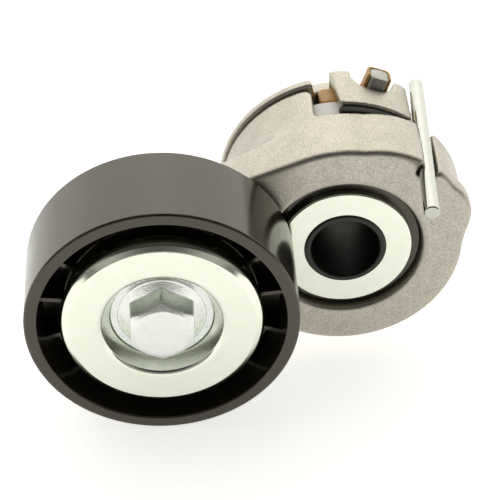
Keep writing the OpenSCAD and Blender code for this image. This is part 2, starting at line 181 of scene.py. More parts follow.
# one finish for each kind of surface
looks = {
    # grain and mottle are pattern sizes per metre; depth is the bump's height in mm; speckle is the
    # grain's share in the colour, and stretch its length along Y
    "castAlloy": {"colour": (0.54, 0.51, 0.445), "shade": (0.34, 0.32, 0.27), "metal": 0.9,
                  "rough": (0.33, 0.40), "grain": 3000, "depth": 0.05, "mottle": 260, "speckle": 0.8},
    "zincPlate": {"colour": (0.80, 0.825, 0.72), "shade": (0.75, 0.775, 0.67), "metal": 1.0,
                  "rough": (0.12, 0.20), "grain": 900, "depth": 0.004, "mottle": 320, "speckle": 0.3},
    "boltZinc": {"colour": (0.84, 0.87, 0.84), "shade": (0.60, 0.62, 0.60), "metal": 1.0,
                 "rough": (0.16, 0.26), "grain": 3200, "depth": 0.045, "mottle": 700, "speckle": 0.75},
    "phosphate": {"colour": (0.022, 0.019, 0.015), "shade": (0.012, 0.010, 0.008), "metal": 0.3,
                  "rough": (0.32, 0.5), "grain": 2500, "depth": 0.01, "mottle": 500},
    "springSteel": {"colour": (0.52, 0.52, 0.48), "shade": (0.38, 0.38, 0.35), "metal": 0.7,
                    "rough": (0.42, 0.55), "grain": 1600, "depth": 0.015, "mottle": 400},
    "brightSteel": {"colour": (0.72, 0.73, 0.72), "shade": (0.6, 0.61, 0.6), "metal": 1.0,
                    "rough": (0.14, 0.24), "grain": 1200, "depth": 0.004, "mottle": 300},
    "pinSteel": {"colour": (0.50, 0.515, 0.465), "shade": (0.46, 0.475, 0.425), "metal": 1.0,
                 "rough": (0.10, 0.15), "grain": 1500, "depth": 0.008, "mottle": 260},
    "bearingSteel": {"colour": (0.70, 0.71, 0.72), "shade": (0.6, 0.61, 0.62), "metal": 1.0,
                     "rough": (0.08, 0.14), "grain": 1800, "depth": 0.002, "mottle": 300},
    "bronze": {"colour": (0.50, 0.36, 0.18), "shade": (0.36, 0.25, 0.12), "metal": 1.0,
               "rough": (0.28, 0.42), "grain": 1900, "depth": 0.01, "mottle": 500},
    "blackPolymer": {"colour": (0.021, 0.018, 0.013), "shade": (0.012, 0.010, 0.007), "metal": 0.0,
                     "rough": (0.17, 0.25), "grain": 1300, "depth": 0.012, "mottle": 160, "speckle": 0.5,
                     "stretch": 9.0, "shine": 0.78, "tint": (1.0, 0.95, 0.82)},
    "blackDamper": {"colour": (0.006, 0.005, 0.004), "shade": (0.012, 0.009, 0.007), "metal": 0.0,
                    "rough": (0.25, 0.5), "grain": 700, "depth": 0.08, "mottle": 500, "shine": 0.15},
    "amberPolymer": {"colour": (0.72, 0.41, 0.11), "shade": (0.58, 0.30, 0.07), "metal": 0.0,
                     "rough": (0.35, 0.5), "grain": 1200, "depth": 0.015, "mottle": 300},
    "whitePolymer": {"colour": (0.95, 0.95, 0.93), "shade": (0.85, 0.85, 0.82), "metal": 0.0,
                     "rough": (0.3, 0.45), "grain": 1000, "depth": 0.01, "mottle": 250},
    "cagePolymer": {"colour": (0.60, 0.50, 0.30), "shade": (0.5, 0.41, 0.24), "metal": 0.0,
                    "rough": (0.4, 0.55), "grain": 1500, "depth": 0.01, "mottle": 300},
    "sealRubber": {"colour": (0.030, 0.022, 0.017), "shade": (0.02, 0.015, 0.012), "metal": 0.0,
                   "rough": (0.45, 0.6), "grain": 1500, "depth": 0.01, "mottle": 300},
}


def makeMaterial(name, look):
    mat = bpy.data.materials.new(name)
    mat.use_nodes = True
    tree = mat.node_tree
    shader = tree.nodes["Principled BSDF"]
    shader.inputs["Metallic"].default_value = look["metal"]
    shader.inputs["Specular IOR Level"].default_value = look.get("shine", 0.5)
    shader.inputs["Specular Tint"].default_value = (*look.get("tint", (1, 1, 1)), 1)
    place = node(tree, "ShaderNodeTexCoord").outputs["Object"]
    mottle = node(tree, "ShaderNodeTexNoise", Scale=look["mottle"], Detail=4.0, Roughness=0.6)
    tree.links.new(place, mottle.inputs["Vector"])
    grainPlace = node(tree, "ShaderNodeMapping", Scale=(1.0, 1.0 / look.get("stretch", 1.0), 1.0))
    tree.links.new(place, grainPlace.inputs["Vector"])
    grain = node(tree, "ShaderNodeTexNoise", Scale=look["grain"], Detail=2.0, Roughness=0.5)
    tree.links.new(grainPlace.outputs["Vector"], grain.inputs["Vector"])
    both = node(tree, "ShaderNodeMix", data_type="FLOAT", i0=look.get("speckle", 0.2))
    tree.links.new(mottle.outputs["Fac"], both.inputs[2])
    tree.links.new(grain.outputs["Fac"], both.inputs[3])
    spread = node(tree, "ShaderNodeMapRange", From_Min=0.35, From_Max=0.65)
    tree.links.new(both.outputs[0], spread.inputs["Value"])
    mix = node(tree, "ShaderNodeMix", data_type="RGBA", blend_type="MIX")
    mix.inputs[6].default_value = (*look["shade"], 1)
    mix.inputs[7].default_value = (*look["colour"], 1)
    tree.links.new(spread.outputs["Result"], mix.inputs[0])
    tree.links.new(mix.outputs[2], shader.inputs["Base Color"])
    smudge = node(tree, "ShaderNodeTexNoise", Scale=look["mottle"] * 0.4, Detail=3.0)
    tree.links.new(place, smudge.inputs["Vector"])
    rough = node(tree, "ShaderNodeMapRange", From_Min=0.3, From_Max=0.7,
                 To_Min=look["rough"][0], To_Max=look["rough"][1])
    tree.links.new(smudge.outputs["Fac"], rough.inputs["Value"])
    tree.links.new(rough.outputs["Result"], shader.inputs["Roughness"])
    bump = node(tree, "ShaderNodeBump", Strength=1.0, Distance=look["depth"] * mm)
    tree.links.new(grain.outputs["Fac"], bump.inputs["Height"])
    tree.links.new(bump.outputs["Normal"], shader.inputs["Normal"])
    return mat


materials = {name: makeMaterial(name, look) for name, look in looks.items()}
print("materials done:", len(materials))


def addPiece(name, points, faces, body, replaced, slot, material, sharp=38.0):
    # points in mm, faces as rows of corner numbers; a row may end in -1 where a face has three corners
    mesh = bpy.data.meshes.new(name)
    faces, points = np.asarray(faces, np.int32), np.asarray(points, float)
    # six times the enclosed volume: turn every face over if the surface is inside out
    a, b, c = points[faces[:, 0]], points[faces[:, 1]], points[faces[:, 2]]
    d = points[np.where(faces[:, 3] < 0, faces[:, 2], faces[:, 3])] if faces.shape[1] == 4 else c
    if (a * (np.cross(b, c) + np.cross(c, d))).sum() < 0:
        turned = faces[:, ::-1].copy()
        short = turned[:, 0] < 0
        turned[short] = np.roll(turned[short], -1, 1)
        faces = turned
    corners = faces[faces >= 0]
    sizes = (faces >= 0).sum(1)
    mesh.vertices.add(len(points))
    mesh.vertices.foreach_set("co", (points * mm).astype(np.float32).ravel())
    mesh.loops.add(len(corners))
    mesh.loops.foreach_set("vertex_index", corners)
    mesh.polygons.add(len(sizes))
    mesh.polygons.foreach_set("loop_start", np.concatenate([[0], np.cumsum(sizes)[:-1]]).astype(np.int32))
    mesh.update(calc_edges=True)
    mesh.validate()
    mesh.shade_smooth()
    if sharp:
        mesh.set_sharp_from_angle(angle=math.radians(sharp))
    mesh.materials.append(materials[material])
    piece = bpy.data.objects.new(name, mesh)
    bpy.context.scene.collection.objects.link(piece)
    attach(piece, body)
    if replaced:
        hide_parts(*replaced)
    return piece


def rounded(corners, radii, steps=6, support=0.04, closed=True):
    # each corner of an outline becomes an arc that touches both sides, with one more point on each
    # side close to the arc, so that the flat sides keep a true shade
    p = np.asarray(corners, float)
    before, after = np.roll(p, 1, 0) - p, np.roll(p, -1, 0) - p
    lenA, lenB = np.linalg.norm(before, axis=1), np.linalg.norm(after, axis=1)
    a, b = before / lenA[:, None], after / lenB[:, None]
    half = np.arccos(np.clip((a * b).sum(1), -1, 1)) / 2
    reach = np.minimum(np.broadcast_to(radii, len(p)) / np.tan(half), 0.46 * np.minimum(lenA, lenB))
    if not closed:
        reach[[0, -1]] = 0
    radius = reach * np.tan(half)
    middle = a + b
    middle /= np.maximum(np.linalg.norm(middle, axis=1), 1e-9)[:, None]
    centre = p + middle * (radius / np.maximum(np.sin(half), 1e-9))[:, None]
    start, end = p + a * reach[:, None] - centre, p + b * reach[:, None] - centre
    sweep = np.maximum(math.pi - 2 * half, 1e-6)[:, None]
    t = np.linspace(0, 1, steps)[None, :]
    wA, wB = np.sin((1 - t) * sweep) / np.sin(sweep), np.sin(t * sweep) / np.sin(sweep)
    arc = centre[:, None] + wA[..., None] * start[:, None] + wB[..., None] * end[:, None]
    near = np.minimum(support, 0.03 * np.minimum(lenA, lenB))
    has = (reach > 1e-6) * 1.0
    lead = p + a * (reach + near * has)[:, None]
    tail = p + b * (reach + near * has)[:, None]
    out = np.concatenate([lead[:, None], arc, tail[:, None]], 1).reshape(-1, 2)
    keep = np.linalg.norm(out - np.roll(out, 1, 0), axis=1) > 1e-5
    keep[0] |= not closed
    return out[keep]


def turnedMesh(profile, centre, segments=192, solid=False):
    # a profile of (radius, y) carried round the axis; a solid one starts and ends on the axis
    p = np.asarray(profile, float)
    area = (p[:, 0] * np.roll(p[:, 1], -1) - np.roll(p[:, 0], -1) * p[:, 1]).sum()
    if area < 0:
        p = p[::-1]
    a = np.arange(segments) * 2 * math.pi / segments
    rows = p[1:-1] if solid else p
    n = len(rows)
    xyz = np.empty((n, segments, 3))
    xyz[..., 0] = centre[0] + rows[:, :1] * np.cos(a)
    xyz[..., 1] = centre[1] + rows[:, 1:]
    xyz[..., 2] = centre[2] + rows[:, :1] * np.sin(a)
    number = np.arange(n * segments).reshape(n, segments)
    i = number if not solid else number[:-1]
    j = np.roll(number, -1, 0) if not solid else number[1:]
    faces = np.stack([i, j, np.roll(j, -1, 1), np.roll(i, -1, 1)], -1).reshape(-1, 4)
    xyz = xyz.reshape(-1, 3)
    if solid:
        poles = np.array([[centre[0], centre[1] + y, centre[2]] for y in (p[0, 1], p[-1, 1])])
        first, last, base = number[0], number[-1], len(xyz)
        none = np.full(segments, -1)
        capA = np.stack([np.full(segments, base), first, np.roll(first, -1), none], -1)
        capB = np.stack([last, np.full(segments, base + 1), np.roll(last, -1), none], -1)
        xyz = np.concatenate([xyz, poles])
        faces = np.concatenate([faces, capA, capB])
    return xyz, faces


def joined(*parts):  # several (points, faces) as one
    shift = np.cumsum([0] + [len(p) for p, f in parts[:-1]])
    faces = [np.where(f >= 0, f + s, -1) for (p, f), s in zip(parts, shift)]
    return np.concatenate([p for p, f in parts]), np.concatenate(faces)


def minRound(a, b, r):  # two solids joined, with a hollow fillet of radius r between them
    return np.maximum(r, np.minimum(a, b)) - np.hypot(np.maximum(r - a, 0), np.maximum(r - b, 0))


def maxRound(a, b, r):  # what two solids share, with its outer edges rounded to radius r
    return np.minimum(-r, np.maximum(a, b)) + np.hypot(np.maximum(r + a, 0), np.maximum(r + b, 0))


def pastAngle(x, z, degrees):  # distance past a line through the axis, positive towards larger angles
    a = math.radians(degrees)
    return z * math.cos(a) - x * math.sin(a)


def skinned(rows, ends):
    # a closed skin over rows of points, each row a ring, with a fan to an end point at either end
    m, k = rows.shape[:2]
    number = np.arange(m * k).reshape(m, k)
    i, j = number[:-1], number[1:]
    faces = np.stack([i, np.roll(i, -1, 1), np.roll(j, -1, 1), j], -1).reshape(-1, 4)
    none = np.full(k, -1)
    capA = np.stack([np.roll(number[0], -1), number[0], np.full(k, m * k), none], -1)
    capB = np.stack([number[-1], np.roll(number[-1], -1), np.full(k, m * k + 1), none], -1)
    return np.concatenate([rows.reshape(-1, 3), ends]), np.concatenate([faces, capA, capB])


def shellOf(shape, low, high, step):
    # the zero surface of a distance function: one point in each grid cell that it crosses, moved
    # along the slope onto the surface, and one face across each grid line that it cuts
    axes = [np.arange(l - 1.5 * step, h + 2.5 * step, step) for l, h in zip(low, high)]
    grid = np.meshgrid(*axes, indexing="ij")
    f = shape(*grid)
    inside = f < 0
    total = np.zeros([n - 1 for n in f.shape] + [3], np.float32)
    count = np.zeros([n - 1 for n in f.shape], np.float32)
    for axis in range(3):
        u, v = [k for k in range(3) if k != axis]
        lo, hi = [slice(None)] * 3, [slice(None)] * 3
        lo[axis], hi[axis] = slice(None, -1), slice(1, None)
        f0, f1 = f[tuple(lo)], f[tuple(hi)]
        crossed = inside[tuple(lo)] != inside[tuple(hi)]
        share = np.where(crossed, f0 / np.where(crossed, f0 - f1, 1), 0)
        for du in (0, 1):
            for dv in (0, 1):
                part = [slice(None)] * 3
                part[u] = slice(du, f.shape[u] - 1 + du)
                part[v] = slice(dv, f.shape[v] - 1 + dv)
                c, s = crossed[tuple(part)], share[tuple(part)]
                count += c
                total[..., axis] += np.where(c, s, 0)
                total[..., u] += c * du
                total[..., v] += c * dv
    used = count > 0
    number = np.full(used.shape, -1, np.int64)
    number[used] = np.arange(used.sum())
    cell = np.argwhere(used)
    points = np.stack([a[0] for a in axes]) + (cell + total[used] / count[used][:, None]) * step
    faces = []
    for axis in range(3):
        u, v = (axis + 1) % 3, (axis + 2) % 3
        lo, hi = [slice(1, -1)] * 3, [slice(1, -1)] * 3
        lo[axis], hi[axis] = slice(0, -1), slice(1, None)
        a, b = inside[tuple(lo)], inside[tuple(hi)]
        at = np.argwhere(a != b)
        out = a[a != b]
        at += 1
        at[:, axis] -= 1
        ring = []
        for du, dv in ((1, 1), (0, 1), (0, 0), (1, 0)):
            c = at.copy()
            c[:, u] -= du
            c[:, v] -= dv
            ring.append(number[c[:, 0], c[:, 1], c[:, 2]])
        quad = np.stack(ring, 1)
        quad[~out] = quad[~out][:, ::-1]
        faces.append(quad)
    faces = np.concatenate(faces)
    h = 0.02
    for turn in range(4):
        x, y, z = points.T
        value = shape(x, y, z)
        slope = np.stack([shape(x + h, y, z) - shape(x - h, y, z),
                          shape(x, y + h, z) - shape(x, y - h, z),
                          shape(x, y, z + h) - shape(x, y, z - h)], 1) / (2 * h)
        size = np.maximum((slope ** 2).sum(1), 0.2)
        points = points - np.clip(value / size, -0.5 * step, 0.5 * step)[:, None] * slope
    return points, faces


arm = {
    "face": -38.8,
    "drumRadius": 29.0, "drumInner": 26.2, "drumRear": armHigh[1],
    "edge": 1.5,                     # radius of the front edge
    # pad and lug: centre's radius and angle, radius, rear face
    "pad": (7.8, 40.0, 23.6, -22.0),
    "lug": (22.0, 23.5, 10.5, -33.6),
    "patch": (0.16, 34.0, 81.2, -27.6, 1.6),  # height, angles, rear edge and corner of the raised patch
    "webRear": -27.5, "webFlare": 5.5, "bossRadius": 12.3,
    "recess": (19.0, -35.2), "wallRear": -30.8,
    "hub": (11.5, 15.5, -17.8),
    "window": (-30.0, 104.0, -22.0), "windowCorner": 1.6, "windowLip": 2.6,
    "groove": (4.8, 2.1, 0.35), "grooveTurn": -140.0,
    "spigot": (8.5, -55.0), "bossUnder": 11.3, "bolt": 5.0, "counterbore": (6.6, -29.1),
    "pocket": (3.4, 1.6, -33.5),
    "step": 0.62,
}
pinLow, pinHigh = boxMm("lock_pin")
pinAxis = -np.array(joints["pin_pull"]["axis"], float)
pinAxis /= np.linalg.norm(pinAxis)
pinMiddle = (pinLow + pinHigh) / 2
pin = {"radius": 1.9, "edge": 0.45}
# the pin's box along Y is its length's share on Y and its ends' share
pinLength = (pinHigh[1] - pinLow[1] - 2 * pin["radius"] * math.hypot(pinAxis[0], pinAxis[2])) / pinAxis[1]


def pinFrame():  # rows: two directions across the pin and its axis
    tilt, turn = math.acos(pinAxis[2]), math.atan2(pinAxis[1], pinAxis[0])
    across = np.array([math.cos(turn) * math.cos(tilt), math.sin(turn) * math.cos(tilt), -math.sin(tilt)])
    other = np.array([-math.sin(turn), math.cos(turn), 0.0])
    return across, other, pinAxis


def webOutline(x, z, reach, big, small):  # drum circle and boss circle with straight flanks, in front view
    across, along = np.abs(z), -x
    b = (big - small) / reach
    a = math.sqrt(1 - b * b)
    k = -b * across + a * along
    flank = a * across + b * along - big
    return np.where(k < 0, np.hypot(across, along) - big,
                    np.where(k > a * reach, np.hypot(across, along - reach) - small, flank))


def armShape(x, y, z):
    s = arm
    reach = -pulleyAt[0]
    r = np.hypot(x, z)
    rp = np.hypot(x - pulleyAt[0], z)
    drum = r - s["drumRadius"]
    # pad and lug round the pin's groove
    padAt, padA, padR, padRear = s["pad"]
    t = math.radians(padA)
    bump = np.hypot(x - padAt * math.cos(t), z - padAt * math.sin(t)) - padR
    pad = np.maximum(maxRound(bump, y - padRear, 0.4), s["drumInner"] + 1 - r)
    lugAt, lugA, lugR, lugRear = s["lug"]
    t = math.radians(lugA)
    lug = np.hypot(x - lugAt * math.cos(t), z - lugAt * math.sin(t)) - lugR
    front = maxRound(np.minimum(drum, minRound(bump, lug, 0.8)), y - lugRear, 0.5)
    # a raised patch with rounded corners, cast a little proud of the front half of the pad
    high, patchA, patchB, patchY, patchR = s["patch"]
    patch = maxRound(maxRound(-pastAngle(x, z, patchA), pastAngle(x, z, patchB), patchR),
                     y - patchY, patchR)
    patch = np.maximum(patch, np.maximum(np.minimum(drum, bump) - high, s["drumInner"] + 1 - r))
    # drum wall: its outline unrolled as the distance round it and Y
    wa, wb, wy = s["window"]
    left = -pastAngle(x, z, wb)
    right = pastAngle(x, z, wa)
    behind = y - s["drumRear"]
    sideL = maxRound(left, behind, s["windowLip"])
    sideR = maxRound(right, behind, s["windowLip"])
    # the window's left side ends the wall above the axis and its right side below it, and the far
    # side of the drum has only the rear edge
    sides = np.where((z > 0) & (x < 9), sideL, np.where(z > 0, 99.0, sideR))
    sides = np.where((z < 0) & (x < 18), behind, sides)
    unrolled = minRound(sides, y - wy, s["windowCorner"])
    unrolled = np.maximum(unrolled, behind)
    wall = maxRound(drum, unrolled, 0.35)
    # web to the pulley, with a flare up the drum behind it
    web = webOutline(x, z, reach, s["drumRadius"], s["bossRadius"])
    flare = minRound(drum, y - s["webRear"], s["webFlare"])
    flare = np.maximum(flare, y + 12)
    webSolid = np.maximum(maxRound(web, flare, 0.8), x + 9.6)
    body = np.minimum(np.minimum(front, wall), np.minimum(np.minimum(pad, patch), webSolid))
    body = maxRound(body, s["face"] - y, s["edge"])
    # boss and spigot that carry the bearing
    boss = np.maximum(rp - s["bossUnder"], np.maximum(-42.6 - y, y - s["face"] - 1))
    spigot = np.maximum(rp - s["spigot"][0], np.maximum(s["spigot"][1] - y, y + 42))
    body = np.minimum(body, np.minimum(boss, spigot))
    # hollows: recess in front, spring chamber behind round the hub, and bores
    recess = np.maximum(r - s["recess"][0], y - s["recess"][1])
    chamber = maxRound(r - s["drumInner"], s["wallRear"] - y, 1.0)
    hub = np.maximum(r - s["hub"][1], y - s["hub"][2])
    chamber = maxRound(chamber, -hub, 0.6)
    body = maxRound(body, -recess, 1.3)
    body = maxRound(body, -chamber, 0.25)
    body = np.maximum(body, s["hub"][0] - r)
    body = np.maximum(body, s["bolt"] - rp)
    body = maxRound(body, -np.maximum(rp - s["counterbore"][0], s["counterbore"][1] - y), 0.3)
    # hollows in the back of the web, one each side of its middle rib
    inset, rib, depth = s["pocket"]
    pocket = maxRound(maxRound(web + inset, rib - np.abs(z), 1.2), maxRound(30.6 - r, 10.7 - rp, 1.2), 1.2)
    pocket = maxRound(pocket, depth - y, 1.2)
    body = maxRound(body, -pocket, 0.5)
    # groove that the pin lies in
    w, deep, shift = s["groove"]
    e1, e2 = pinFrame()[:2]
    t = math.radians(s["grooveTurn"])
    g1, g2 = e1 * math.cos(t) + e2 * math.sin(t), -e1 * math.sin(t) + e2 * math.cos(t)
    px, py, pz = x - pinMiddle[0], y - pinMiddle[1], z - pinMiddle[2]
    up = g1[0] * px + g1[1] * py + g1[2] * pz
    across = g2[0] * px + g2[1] * py + g2[2] * pz
    slot = maxRound(np.abs(across - shift) - w / 2, -deep - up, 1.0)
    return maxRound(body, -slot, 0.55)


piece = shellOf(armShape, armLow, armHigh, arm["step"])
addPiece("arm_body", *piece, "arm", ["arm_casting"], "cast_alloy", "castAlloy", sharp=0)
print("arm done:", len(piece[1]), "faces")

baseLow, baseHigh = boxMm("base_casting")
base = {
    "floor": (24.4, -5.4, -1.2),      # radius, faces
    "rim": (23.1, 29.6, -9.0, -6.5, -10.0, 103.0, 24.3),  # radii, faces, end angles, link's radius
    "boss": (17.5, 0.0), "hub": (10.0, 15.4, -17.0, -8.0), "screw": 5.25,
    "tab": (26.5, 29.6, 53.2, 94.0, -18.4, -4.2, 0.13),  # radii, angles, faces, free edge's slope
    "foot": (28.9, -3.6),         # radius, rear face
    "notch": (72.0, 5.8, -5.2),   # angle, radius, middle
    "tang": (71.0, 7.6, -10.1),   # angle, width, front of the slot for the spring's end
    "dowel": (21.0, 6.4), "dowelHole": (3.7, -3.9), "relief": (4.3, -0.6),
    "ribs": (110.0, 40.0, 7, 1.2, -0.3, 17.0, 24.0),  # first angle, pitch, count, half width, top, ends
    "step": 0.5,
}


def baseShape(x, y, z):
    s = base
    r = np.hypot(x, z)
    fr, f0, f1 = s["floor"]
    body = maxRound(r - fr, np.maximum(f0 - y, y - f1), 0.5)
    # rim behind the drum, with the wall that joins it to the floor
    r0, r1, y0, y1, ra, rb, link = s["rim"]
    closed = np.where(z > 0, -pastAngle(x, z, rb), pastAngle(x, z, ra))
    flat = maxRound(r - r1, np.maximum(y0 - y, y - y1), 0.45)
    wall = np.maximum(r - link, np.maximum(y0 - y, y - f0 - 1))
    rim = maxRound(np.maximum(minRound(flat, wall, 0.5), r0 - r), closed, 0.8)
    body = minRound(body, rim, 0.4)
    boss = maxRound(r - s["boss"][0], np.maximum(f0 - y, y - s["boss"][1]), 0.3)
    body = minRound(body, boss, 0.5)
    pad = np.hypot(x, z + s["dowel"][0]) - s["dowel"][1]
    body = minRound(body, maxRound(pad, np.maximum(f0 - y, y), 0.3), 0.5)
    h0, h1, hy, seat = s["hub"]
    hub = maxRound(maxRound(r - h1, hy - y, 0.4), y + 3, 0.2)
    body = minRound(body, hub, 0.8)
    first, stepA, count, halfW, top, rib0, rib1 = s["ribs"]
    a = np.degrees(np.arctan2(z, x)) - first
    fold = a - stepA * np.clip(np.round((a % 360) / stepA), 0, count - 1)
    fold = (fold + 180) % 360 - 180
    across = r * np.sin(np.radians(fold))
    span = np.maximum(np.maximum(rib0 - r, r - rib1), np.maximum(y - top, -3 - y))
    ribs = maxRound(np.abs(across) - halfW, span, 0.3)
    ribs = np.where(np.abs(fold) < 60, ribs, 99.0)
    body = minRound(body, ribs, 0.4)
    # stop tab with a round notch for the spring's end
    t0, t1, ta, tb, ty0, ty1, lean = s["tab"]
    free = pastAngle(x, z, tb) - lean * (y - ty1)  # the free edge slopes away towards the front
    outline = maxRound(maxRound(-pastAngle(x, z, ta), free, 0.5), maxRound(ty0 - y, y - ty1, 0.9), 1.1)
    tab = maxRound(maxRound(t0 - r, r - t1, 0.3), outline, 0.45)
    footR, footY = s["foot"]
    sides = maxRound(-pastAngle(x, z, ta), pastAngle(x, z, tb), 0.3)
    foot = maxRound(maxRound(r0 - r, r - footR, 0.3), sides, 0.4)
    foot = maxRound(foot, np.maximum(f0 - y, y - footY), 0.3)
    body = minRound(body, minRound(tab, foot, 0.3), 0.5)
    na, nr, ny = s["notch"]
    v = pastAngle(x, z, na)
    curve = np.where(y < ny, np.hypot(v, y - ny), np.abs(v)) - nr
    outer = t0 - 0.5 - (x * math.cos(math.radians(na)) + z * math.sin(math.radians(na)))
    body = maxRound(body, -np.maximum(curve, outer), 0.7)
    ga, gw, gy = s["tang"]
    out = x * math.cos(math.radians(ga)) + z * math.sin(math.radians(ga))
    slot = np.maximum(np.abs(pastAngle(x, z, ga)) - gw / 2, gy - y)
    slot = np.maximum(slot, np.maximum(22.9 - out, out - t0 - 0.5))
    body = np.maximum(body, -slot)
    body = np.maximum(body, s["screw"] - r)
    body = np.maximum(body, -np.maximum(r - h0, y - seat))
    hole = np.hypot(x, z + s["dowel"][0])
    relief = np.maximum(hole - s["relief"][0], s["relief"][1] - y)
    holeR, holeY = s["dowelHole"]
    return np.maximum(body, -np.minimum(relief, np.maximum(hole - holeR, holeY - y)))


piece = shellOf(baseShape, baseLow, baseHigh, base["step"])
addPiece("base_body", *piece, "base", ["base_casting"], "cast_alloy", "castAlloy", sharp=0)
print("base done:", len(piece[1]), "faces")

# rings on the pivot's axis: CAD node, body, slot, finish, bore's radius and edges' radii
rings = {
    "pivot_sleeve": ("pivot_tube", "base", "phosphated_steel", "phosphate", 8.5, (0.5, 0.35, 0.2, 0.2)),
    "pivot_plate": ("front_plate", "base", "zinc_plate", "zincPlate", 10.0, (0.2, 0.45, 0.2, 0.1)),
    "thrust_disc": ("thrust_ring", "arm", "black_polymer", "blackPolymer", 10.3, 0.3),
    "drum_liner": ("friction_liner", "arm", "white_polymer", "whitePolymer", 24.2, 0.35),
    "rear_washer": ("rear_thrust_washer", "base", "bronze", "bronze", 10.3, 0.15),
}


def ringPiece(name, nodeName, body, slot, material, inner, radius):
    # a ring as tall as its CAD node, with rounded edges
    low, high = boxMm(nodeName)
    centre = (low + high) / 2
    outer = (high[0] - low[0]) / 2
    y0, y1 = low[1], high[1]
    corners = [(inner, y0), (outer, y0), (outer, y1), (inner, y1)]
    profile = rounded(corners, radius)
    xyz, faces = turnedMesh(profile, (centre[0], 0.0, centre[2]))
    addPiece(name, xyz, faces, body, [nodeName], slot, material)


for name, values in rings.items():
    ringPiece(name, *values)

tyre = {
    "wall": 3.1, "edgeOuter": 0.7, "edgeInner": 0.45, "draft": 0.25,
    "hub": (20.0, 23.5, -57.0, -43.9), "web": (-52.0, -48.4),
    "ribs": 15, "ribFirst": 6.0, "ribWidth": 1.3, "ribFront": -58.2, "ribBack": -44.4,
}


def ribMesh(y0, y1, rounding):
    # each rib is a rounded outline across it, carried outwards along the radius from hub to wall
    w = tyre["ribWidth"] / 2
    outline = rounded([(-w, y0), (w, y0), (w, y1), (-w, y1)], rounding, steps=4)
    radii = np.array([tyre["hub"][1] - 0.5, (tyreHigh[0] - tyreLow[0]) / 2 - tyre["wall"] + 0.3])
    turn = np.radians(tyre["ribFirst"] + np.arange(tyre["ribs"]) * 360 / tyre["ribs"])
    c, s = np.cos(turn)[:, None, None], np.sin(turn)[:, None, None]
    along, across = radii[None, :, None], outline[None, None, :, 0]
    x = pulleyAt[0] + along * c - across * s
    z = pulleyAt[2] + along * s + across * c
    y = np.broadcast_to(outline[None, None, :, 1], x.shape)
    n, m = len(outline), tyre["ribs"]
    number = np.arange(m * 2 * n).reshape(m, 2, n)
    a, b = number[:, 0], number[:, 1]
    faces = np.stack([a, b, np.roll(b, -1, 1), np.roll(a, -1, 1)], -1).reshape(-1, 4)
    return np.stack([x, y, z], -1).reshape(-1, 3), faces


def addTyre():
    s = tyre
    out = (tyreHigh[0] - tyreLow[0]) / 2
    inner = out - s["wall"]
    y0, y1 = tyreLow[1], tyreHigh[1]
    h0, h1, hy0, hy1 = s["hub"]
    w0, w1 = s["web"]
    corners = [(h0, hy0), (h1, hy0), (h1, w0), (inner - s["draft"], w0), (inner, y0), (out, y0),
               (out, y1), (inner, y1), (inner - s["draft"], w1), (h1, w1), (h1, hy1), (h0, hy1)]
    edge, lip = s["edgeOuter"], s["edgeInner"]
    radii = [0.3, 0.4, 0.8, 0.8, lip, edge, edge, lip, 0.8, 0.8, 0.4, 0.3]
    body = turnedMesh(rounded(corners, radii, steps=7), pulleyAt, 256)
    ribs = [ribMesh(s["ribFront"], s["web"][0] + 0.5, 0.2), ribMesh(s["web"][1] - 0.5, s["ribBack"], 0.35)]
    xyz, faces = joined(body, *ribs)
    addPiece("pulley_rim", xyz, faces, "pulley", ["pulley_tyre"], "black_polymer", "blackPolymer")


addTyre()

cover = {
    "flat": (14.6, 22.1), "wall": 1.0, "funnel": (12.4, -62.2), "floor": -59.5, "bore": 5.1,
    "shoulder": 2.2, "bend": (23.7, 1.1), "skirt": -62.4,
}


def addCover():
    low, high = boxMm("dust_cover")
    y0, y1 = low[1], high[1]
    out = (high[0] - low[0]) / 2
    r0, r1 = cover["flat"]
    w = cover["wall"]
    fr, fy = cover["funnel"]
    bendR, bendY = cover["bend"]
    bore, floor, skirt, shoulder = cover["bore"], cover["floor"], cover["skirt"], y0 + cover["shoulder"]
    # the outside from the bore to the skirt, and back along the inside
    corners = [(bore, floor), (fr, floor), (fr, fy), (r0, y0), (r1, y0), (bendR, y0 + bendY),
               (out, shoulder), (out, skirt), (out - w, skirt), (out - w, shoulder + 0.3),
               (r1 - 0.2, y0 + w), (r0 + 0.5, y0 + w), (fr + w, fy + 0.4), (fr + w, y1), (bore, y1)]
    radii = [0.2, 0.3, 0.6, 1.5, 1.0, 1.6, 1.2, 0.3, 0.3, 0.4, 0.4, 0.4, 0.8, 0.4, 0.2]
    xyz, faces = turnedMesh(rounded(corners, radii, steps=8), pulleyAt, 256)
    addPiece("bearing_cap", xyz, faces, "arm", ["dust_cover"], "zinc_plate", "zincPlate")


addCover()

bolt = {
    "flange": (12.36, -61.7, -59.5, 0.45), "rim": 10.4, "step": 0.3, "cone": (7.5, -62.4),
    "across": 15.0, "top": -68.7, "topRadius": 6.5, "chamfer": 30.0,
    "shank": 5.0, "tip": -30.0,
}


